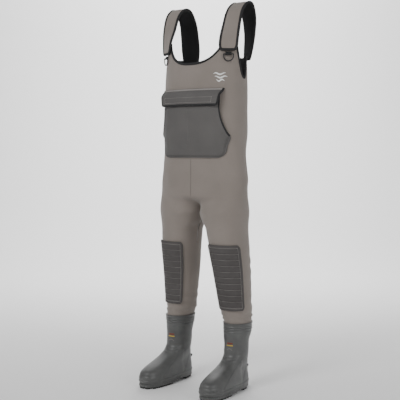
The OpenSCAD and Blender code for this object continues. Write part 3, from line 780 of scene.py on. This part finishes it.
def stitchLines(name, lines, body, thread="thread", pitch=4.2, length=3.1, radius=0.38):
    points, edges = [], []
    for line in lines:
        start = len(points)
        points += [Vector(p) * mm for p in line]
        edges += [(i, i + 1) for i in range(start, len(points) - 1)]
    mesh = bpy.data.meshes.new(name + "_line")
    mesh.from_pydata(points, edges, [])
    obj = bpy.data.objects.new(name + "_line", mesh)
    scene.collection.objects.link(obj)
    rows = obj.modifiers.new("stitches", "NODES")
    rows.node_group = stitchTree
    values = {"Pitch": pitch * mm, "Stitch Length": length * mm, "Thread Radius": radius * mm,
              "Thread": finish[thread]}
    for item in stitchTree.interface.items_tree:
        if item.in_out == "INPUT" and item.name in values:
            rows[item.identifier] = values[item.name]
    piece = bake(obj, name)
    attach(piece, body)
    return piece


# chest pocket and its flap
pocketPlan = {"bottom": 934, "half": 164, "neck": 132, "depth": 13, "thick": 3.5, "handLow": 1018,
              "flapTop": 1206, "flapLen": 66, "flapHalf": 145, "corner": 36, "fit": 0.4}
pocketTop = pocketPlan["flapTop"] - 24


def pocketEdge(z):
    p = pocketPlan
    top, low = p["bottom"] + p["corner"], p["half"] - 10
    if z < top:
        return low - p["corner"] * (1 - math.sqrt(max(0, 1 - ((top - z) / p["corner"]) ** 2)))
    if z < p["handLow"]:
        return mix(low, p["half"], ease((z - top) / (p["handLow"] - top)))
    under = p["flapTop"] - p["flapLen"]
    if z < under:
        return mix(p["half"], p["neck"], 1 - (1 - (z - p["handLow"]) / (under - p["handLow"])) ** 2)
    return p["neck"]


def pocketOff(z, k):
    p = pocketPlan
    low = ease((z - p["bottom"]) / 60)
    side = ease((1 - abs(k)) / 0.3)
    opened = ease((z - p["handLow"] + 12) / 30)
    under = mix(1, 0.55, ease((z - 1118) / 58))
    return 3 * p["fit"] + p["depth"] * low * mix(side, 0.5 + 0.5 * side, opened) * under


def pocketPoint(z, k, off):
    x = k * pocketEdge(z)
    return Vector((x, frontY(x, z, pocketOff(z, k) + off), z))


def makePocket():
    p = pocketPlan
    zs = [p["bottom"] + p["corner"] * (1 - math.cos(math.radians(q))) for q in rangeOf(0, 90, 14)]
    zs += rangeOf(p["bottom"] + p["corner"], pocketTop, 70)[1:]
    outer, inner = [], []
    for z in zs:
        rowOut, rowIn = [], []
        for k in rangeOf(-1, 1, 90):
            x = k * pocketEdge(z)
            crease = -1.3 * bell(x, 2, 3.5) * clamp((z - 950) / 30)
            rim = min(z - p["bottom"], (1 - abs(k)) * pocketEdge(z) if z < p["handLow"] else 99)
            seam = -1.0 * bell(rim, 7, 2.2)
            puff = 1.2 * noise.noise(Vector((x * 0.018, z * 0.014, 2.1)))
            puff += 0.8 * bell(abs(x), 60, 30) * bell(z, 1060, 60)
            rowOut.append(pocketPoint(z, k, p["thick"] + crease + seam + puff))
            rowIn.append(pocketPoint(z, k, 0.2))
        outer.append(rowOut)
        inner.append(rowIn)
    panel = slabPiece("pocket_cloth_panel", outer, inner, ["pocketCloth", "lining", "pocketCloth"])
    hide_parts("pocket_panel")
    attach(panel, "waders")
    hand = rangeOf(p["handLow"] + 2, pocketTop + 2, 34)
    path = [pocketPoint(z, 1, p["thick"] / 2) for z in reversed(hand)]
    normals = [(pocketPoint(z, 0.98, 4) - pocketPoint(z, 0.98, 0)).normalized() for z in reversed(hand)]
    left = sweepPiece("left_hand_binding_tape", path, normals, roundBar(9, 6.4, -6), ["bindingTape"])
    for side, tape in pairOf(left, "hand_binding_tape"):
        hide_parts(side + "_hand_binding")
        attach(tape, "waders")
    # seam round the lower edge: up one side, along the bottom, up the other
    def edgeLine(inset):
        right = []
        for z in rangeOf(p["handLow"] - 4, p["bottom"] + inset, 30):
            half = pocketEdge(z) - inset
            k = clamp(half / pocketEdge(z))
            right.append(pocketPoint(z, k, p["thick"] + 0.2))
        base = p["bottom"] + inset
        half = (pocketEdge(base) - inset) / pocketEdge(base)
        under = [pocketPoint(base, k, p["thick"] + 0.2) for k in rangeOf(half, -half, 60)[1:-1]]
        return right + under + list(reversed(flipX(right)))
    stitchLines("pocket_seam_stitches", [edgeLine(5), edgeLine(8.5)], "waders",
                "thread", 3.6, 2.7, 0.4)


def flapOff(z):
    k = clamp((pocketPlan["flapTop"] - z) / pocketPlan["flapLen"])
    return mix(1.2, pocketPlan["depth"] + pocketPlan["thick"] + 5, ease(k * 2))


def flapEdge(z):
    p = pocketPlan
    k = (p["flapTop"] - z) / p["flapLen"]
    return p["flapHalf"] - 9 * ease(k) - 6 * clamp((p["flapTop"] - p["flapLen"] + 12 - z) / 12) ** 2


def flapPoint(z, k, off):
    x = k * flapEdge(z)
    return Vector((x, frontY(x, z, flapOff(z) + off), z))


def makeFlap():
    p = pocketPlan
    low = p["flapTop"] - p["flapLen"]
    outer, inner = [], []
    for z in rangeOf(low, p["flapTop"], 34):
        rowOut, rowIn = [], []
        for k in rangeOf(-1, 1, 84):
            x = k * flapEdge(z)
            puff = 0.9 * noise.noise(Vector((x * 0.02, z * 0.03, 8.5)))
            crease = -0.8 * bell(x, 2, 4) - 0.9 * bell(z, p["flapTop"] - 5, 1.6)
            crease -= 1.1 * ease((z - p["flapTop"] + 3) / 3)  # clears the chest when the flap is up
            rowOut.append(flapPoint(z, k, p["thick"] + puff + crease))
            rowIn.append(flapPoint(z, k, mix(0.1, 1.7, ease((z - p["flapTop"] + 12) / 10))))
        outer.append(rowOut)
        inner.append(rowIn)
    flap = slabPiece("pocket_flap_cloth", outer, inner, ["pocketCloth", "lining", "pocketCloth"])
    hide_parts("pocket_flap")
    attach(flap, "flap")
    side = [flapPoint(z, 1, p["thick"] / 2) for z in rangeOf(p["flapTop"] - 1, low, 24)]
    under = [flapPoint(low, k, p["thick"] / 2) for k in rangeOf(1, -1, 70)[1:-1]]
    path = side + under + list(reversed(flipX(side)))
    normals = [Vector((q.x * 0.35, -80, 0)).normalized() for q in path]
    tape = sweepPiece("pocket_flap_binding_tape", path, normals, roundBar(8.5, 6.2, -5.8), ["bindingTape"])
    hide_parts("flap_binding")
    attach(tape, "flap")
    # top seam tape and the sewn box for the hook strip
    rows, backs = [[[flapPoint(p["flapTop"] - drop, k, p["thick"] + off) for k in rangeOf(-0.985, 0.985, 60)]
                    for drop in (7.5, 4, 1)] for off in (0.9, -1.6)]
    strip = slabPiece("flap_seam_strip", rows, backs, ["paleThread"] * 3)
    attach(strip, "flap")
    high, base, reach = low + 31, low + 11, 0.82
    turns = [(z, reach) for z in rangeOf(high, base, 8)] + [(base, k) for k in rangeOf(reach, -reach, 60)]
    turns += [(z, -reach) for z in rangeOf(base, high, 8)] + [(high, k) for k in rangeOf(-reach, reach, 60)]
    box = [flapPoint(z, k, p["thick"] + 0.9) for z, k in turns]
    stitchLines("flap_box_stitches", [box], "flap", "paleThread", 3.0, 3.1, 0.6)


makePocket()
makeFlap()
print("pocket and flap made")


# knee pads: raised border round a field of ribs that run across
kneePlan = {"low": 326, "high": 590, "start": 0.135, "end": 0.44, "half": 62, "frame": 12, "ribs": 10}


def kneeShare(z):
    return 1 - 0.13 * clamp(1 - min(z - kneePlan["low"], kneePlan["high"] - z) / 16) ** 2


def kneePoint(z, k, off):
    # k runs from -1 to 1 across the pad
    middle, half = (kneePlan["start"] + kneePlan["end"]) / 2, (kneePlan["end"] - kneePlan["start"]) / 2
    return halfPoint(z, middle + half * k * kneeShare(z), off)


def makeKneePads():
    low, high, wide, frameWidth = kneePlan["low"], kneePlan["high"], kneePlan["half"], kneePlan["frame"]
    field = high - low - 2 * frameWidth
    outer, inner = [], []
    for z in rangeOf(low, high, 190):
        rowOut, rowIn = [], []
        for k in rangeOf(-1, 1, 56):
            edge = min((1 - abs(k)) * wide, z - low, high - z)
            inside = ease((edge - 9) / 2.5)
            rib = abs((z - low - frameWidth) / field * kneePlan["ribs"] % 1 - 0.5) * 2
            tall = -2.2 * inside + 2.0 * inside * (1 - rib ** 6) + 0.5 * bell(edge, 5, 3)
            rowOut.append(kneePoint(z, k, 5.8 + tall))
            rowIn.append(kneePoint(z, k, 0.9))
        outer.append(rowOut)
        inner.append(rowIn)
    left = slabPiece("left_knee_cloth", outer, inner, ["kneeCloth", "bindingTape", "kneeCloth"])
    for side, pad in pairOf(left, "knee_cloth"):
        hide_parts(side + "_knee_pad")
        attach(pad, "waders")

    def rim(inset):
        line = []
        for u in rangeOf(0, 4, 160)[:-1]:
            side, v = int(u), u - int(u)
            base, top = low + inset, high - inset
            k = (1 - inset / wide) * (2 * v - 1, 1, 1 - 2 * v, -1)[side]
            z = (base, mix(base, top, v), top, mix(top, base, v))[side]
            line.append(kneePoint(z, k, 5.9))
        return line + line[:1]
    # painted highlight: pale bars on the ridge between each pair of ribs, and one round the field, stand in
    # for the light the moulded ridges catch
    ridgeHighlightLines = [rim(9.5)]
    reach = 1 - 11 / wide
    for i in range(kneePlan["ribs"] + 1):
        z = low + frameWidth + field * i / kneePlan["ribs"]
        ridgeHighlightLines.append([kneePoint(z, k, 5.5) for k in rangeOf(-reach, reach, 24)])
    for side in (1, -1):
        word = "left" if side == 1 else "right"
        pick = (lambda line: line) if side == 1 else flipX
        stitchLines(word + "_knee_stitches", [pick(rim(4.5))], "waders",
                    "thread", 3.4, 2.5, 0.34)
        # pale bars that paint the highlights on the knee pad ridges
        stitchLines(word + "_knee_ridge_highlights", [pick(line) for line in ridgeHighlightLines], "waders",
                    "paintedRidgeHighlight", 2.0, 2.6, 0.8)


makeKneePads()
print("knee pads made")


# boots: one rubber upper a side with its bands, seams and ridges drawn in the surface
def bootRelief(z, a, y, x):
    # a in radians, 0 at the toe; returns height off the plain upper in mm
    toe = bootPlan["toe"]
    # soft dents, and creases that run down and back across the shaft
    tall = 1.4 * noise.noise(Vector((x * 0.014, y * 0.014, z * 0.012)))
    slant = z + 0.55 * y
    shaft = noise.noise(Vector((slant * 0.035, x * 0.012, 4.7)))
    tall += 1.9 * shaft * ease((z - 120) / 40) * ease((262 - z) / 20)
    instep = noise.noise(Vector((y * 0.03, z * 0.05, x * 0.02 + 9.1)))
    tall += 1.2 * instep * ease((z - 50) / 25) * ease((150 - z) / 30)
    tall += 1.9 * ease((35 - z) / 1.6)
    tall += 0.7 * bell(z, 30, 1.3) - 0.5 * bell(z, 25.5, 1.0)
    cap = ease((toe + 62 - y) / 3) * ease((49 - z) / 2.5)
    tall += 1.6 * cap + 1.1 * bell(z, 49, 1.6) * ease((toe + 70 - y) / 8)
    for k in range(9):
        angle = (k - 4) * 0.17
        tall += 1.3 * bell(a if a < math.pi else a - 2 * math.pi, angle, 0.035) * bell(z, 42, 3.2)
    vamp = 46 + (y - (toe + 70)) * 0.62
    along = clamp((y - toe - 66) / 8) * clamp((toe + 210 - y) / 12)
    tall += 1.8 * along * ease((vamp - z) / 1.6) * ease((z - 36) / 3)
    tall += 0.9 * along * bell(z, vamp - 1, 1.6)
    counter = 132 - max(0, bootPlan["heel"] - 6 - y) * 1.15
    tall += 1.5 * ease((counter - z) / 1.6) * ease((y - bootPlan["heel"] + 86) / 3)
    for ridge, size in ((256, 1.5), (247, 2.2), (236, 1.8)):
        tall += size * bell(z, ridge + 2 * math.sin(2 * a), 1.9)
    tall += 1.2 * ease((z - 266) / 2)
    front = bell(a if a < math.pi else a - 2 * math.pi, 0, 0.8)
    for ridge in (118, 127):
        tall += 2.4 * front * bell(z - 0.22 * (y - toe - 130), ridge, 2.2)
    tall += 1.4 * front * bell(z, 158, 7) - 1.0 * front * bell(z, 146, 5)
    tall += 0.9 * bell(a, math.pi, 0.16) * ease((z - 60) / 20) * ease((230 - z) / 20)
    return tall


def makeBoots():
    top = bootPlan["height"]
    zs = rangeOf(17.2, 60, 46) + rangeOf(60, 150, 70)[1:]
    zs += rangeOf(150, 240, 46)[1:] + rangeOf(240, top, 40)[1:]
    inner = rangeOf(top, 230, 12) + rangeOf(230, 21, 30)[1:]
    count = 150
    faces, mats, rings = [], [], []
    for z in zs:
        ring = []
        for i in range(count):
            a = 2 * math.pi * i / count
            base = bootPoint(z, a, 0)
            ring.append(bootPoint(z, a, bootRelief(z, a, base.y, base.x - bootPlan["x"])))
        rings.append((ring, 0))
    rim = [bootPoint(272.9, 2 * math.pi * i / count, -2) for i in range(count)]
    rings.append((rim, 0))
    for z in inner:
        rings.append(([bootPoint(z, 2 * math.pi * i / count, -4 + 0.4 * (z > 271)) for i in range(count)], 1))
    verts = [point for ring in rings for point in ring[0]]
    for r in range(len(rings) - 1):
        for i in range(count):
            j = (i + 1) % count
            a, b = r * count, (r + 1) * count
            faces.append((a + i, a + j, b + j, b + i))
            mats.append(rings[r + 1][1])
    faces.append(tuple(range((len(rings) - 1) * count, len(rings) * count)))
    mats.append(1)
    faces.append(tuple(reversed(range(count))))
    mats.append(0)
    left = newPiece("left_boot_rubber", verts, faces, ["bootRubber", "lining"], mats)
    tidyNormals(left)
    for side, boot in pairOf(left, "boot_rubber"):
        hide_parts(side + "_boot_upper", side + "_foxing_band")
        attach(boot, "waders")


makeBoots()
print("boots made")


# outsoles: a slab with a grooved edge, and cleats at the toe and the heel
solePlan = {"low": 7, "high": 17, "pitch": 19, "wide": 20, "gap": 6}


def soleWidth(outline, y):
    xs = []
    for i, p in enumerate(outline):
        q = outline[(i + 1) % len(outline)]
        if (p[1] - y) * (q[1] - y) <= 0 and p[1] != q[1]:
            xs.append(mix(p[0], q[0], (y - p[1]) / (q[1] - p[1])))
    return (min(xs), max(xs)) if len(xs) > 1 else None


def makeSoles():
    s, count = solePlan, 240
    verts, faces = [], []
    low, high = s["low"], s["high"]
    levels = [(high, -3), (high + 0.2, 1.2), (high - 1, 1.9)]
    levels += [(low + 2, 1.9), (low + 0.6, 1.6), (low, 0.8), (low, -4)]
    for z, off in levels:
        for i in range(count):
            a = 2 * math.pi * i / count
            notch = -0.7 * (i % 4 < 2) * (8 < z < 16.5)
            p = bootPoint(30, a, off + notch)
            verts.append(Vector((p.x, p.y, z)))
    for r in range(len(levels) - 1):
        for i in range(count):
            j = (i + 1) % count
            faces.append((r * count + i, (r + 1) * count + i, (r + 1) * count + j, r * count + j))
    faces.append(tuple(range(count)))
    faces.append(tuple(reversed(range((len(levels) - 1) * count, len(levels) * count))))
    outline = [bootPoint(30, 2 * math.pi * i / 120, 1.2).to_tuple()[:2] for i in range(120)]
    rows = rangeOf(bootPlan["toe"], bootPlan["toe"] + s["pitch"] * 7, 7)[:-1]
    rows += rangeOf(bootPlan["heel"] - 78, bootPlan["heel"] - 78 + s["pitch"] * 4, 4)[:-1]
    for y in rows:
        for k in (-2, -1, 0, 1):
            left = bootPlan["x"] + k * (s["wide"] + s["gap"]) + s["gap"] / 2
            near, far = y + 1, y + s["pitch"] - s["gap"] + 1
            corners = []
            for cx, cy in ((left, near), (left + s["wide"], near), (left + s["wide"], far), (left, far)):
                span = soleWidth(outline, clamp(cy, bootPlan["toe"] + 3, bootPlan["heel"] - 3))
                ends = (bootPlan["toe"] + 1, bootPlan["heel"] - 1)
                corners.append((clamp(cx, *span), clamp(cy, *ends)))
            if min(corners[1][0] - corners[0][0], corners[2][0] - corners[3][0]) < 3:
                continue
            midX, midY = sum(c[0] for c in corners) / 4, sum(c[1] for c in corners) / 4
            start = len(verts)
            for z, share in ((7.6, 1.0), (1.0, 0.94), (0.0, 0.86)):
                verts += [Vector((mix(midX, c[0], share), mix(midY, c[1], share), z)) for c in corners]
            for r in (0, 4):
                for i in range(4):
                    j = (i + 1) % 4
                    faces.append((start + r + i, start + r + 4 + i, start + r + 4 + j, start + r + j))
            faces.append(tuple(start + 8 + i for i in (3, 2, 1, 0)))
            faces.append(tuple(start + i for i in range(4)))
    rand = (len(levels) - 1) * count
    paint = [1 if i < rand and i // count < 4 else 0 for i in range(len(faces))]
    for v in verts[:len(levels) * count]:  # the arch lifts the slab between toe and heel
        v.z += 4.5 * bell(v.y, bootPlan["heel"] - 106, 26) * (v.z < 12)
    left = newPiece("left_sole_rubber", verts, faces, ["soleRubber", "bootRubber"], paint, smooth=False)
    tidyNormals(left)
    for side, sole in pairOf(left, "sole_rubber"):
        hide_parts(side + "_outsole")
        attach(sole, "waders")


# plain stripes on the shin of each boot and three wavy bars on the chest
def patchOn(name, grid, materials, height=0.5):
    outer = [[grid(u, v, height) for u in rangeOf(0, 1, 24)] for v in rangeOf(0, 1, 6)]
    inner = [[grid(u, v, -0.6) for u in rangeOf(0, 1, 24)] for v in rangeOf(0, 1, 6)]
    return slabPiece(name, outer, inner, [materials] * 3)


def makePrints():
    for side in (1, -1):
        word = "left" if side == 1 else "right"
        parts = []
        for label, low, high, turn, bend, paint in (("red", 191, 197, 15, 0, "redPrint"),
                                                   ("yellow", 184, 187, 17, 0, "yellowPrint"),
                                                   ("arc", 172, 173.6, 14, -7, "paleThread")):
            def place(u, v, off):
                a = math.radians(4 * side + (2 * u - 1) * turn)
                z = mix(low, high, v) + bend * (2 * u - 1) ** 2
                base = bootPoint(z, a % (2 * math.pi), 0)
                lift = bootRelief(z, a % (2 * math.pi), base.y, base.x - bootPlan["x"])
                return bootPoint(z, a % (2 * math.pi), off + lift)
            parts.append(patchOn(word + label, place, paint))
        stripes = joinPieces(word + "_boot_stripes", parts)
        if side == -1:
            for vertex in stripes.data.vertices:
                vertex.co.x = -vertex.co.x
            stripes.data.flip_normals()
        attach(stripes, "waders")
    bars = []
    for i, (low, start, end) in enumerate(((1262, 104, 146), (1249, 110, 152), (1236, 116, 144))):
        def place(u, v, off):
            x = mix(start, end, u)
            taper = math.sin(math.pi * clamp(u, 0.04, 0.96)) ** 0.6
            z = low + 3.2 * math.sin(u * 2 * math.pi * 1.3 + i) + (v - 0.5) * 6.5 * taper
            return Vector((x, frontY(x, z, off + 0.25), z))
        bars.append(patchOn("bar" + str(i), place, "whitePrint", 0.6))
    waves = joinPieces("chest_wave_print", bars)
    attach(waves, "waders")


makeSoles()
makePrints()


# finishes for the CAD solids that stay as they are
cadFinish = {"d_ring": "ringPlastic", "ring_webbing": "webbing", "hook_patch": "hookLoop",
             "loop_patch": "hookLoop", "insole": "insoleFelt", "heel_spur": "soleRubber",
             "cuff_tape": "bindingTape"}
nodeFinish = {side + "_" + ending: label for ending, label in cadFinish.items() for side in ("left", "right")}
nodeFinish.update({name: "lining" for name in ("centre_front_tape", "centre_back_tape", "crotch_tape")})
nodeFinish.update({name: "hookLoop" for name in ("pocket_loop_strip", "flap_hook_strip")})
for name, label in nodeFinish.items():
    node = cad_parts[name]
    node.data.materials.clear()
    node.data.materials.append(finish[label])
frontSeam = [Vector((0, frontY(0, z, 0.35), z)) for z in rangeOf(782, 928, 60)]
stitchLines("centre_front_stitches", [frontSeam], "waders", "thread", 2.4, 2.6, 0.45)
print("soles, prints and finishes made")
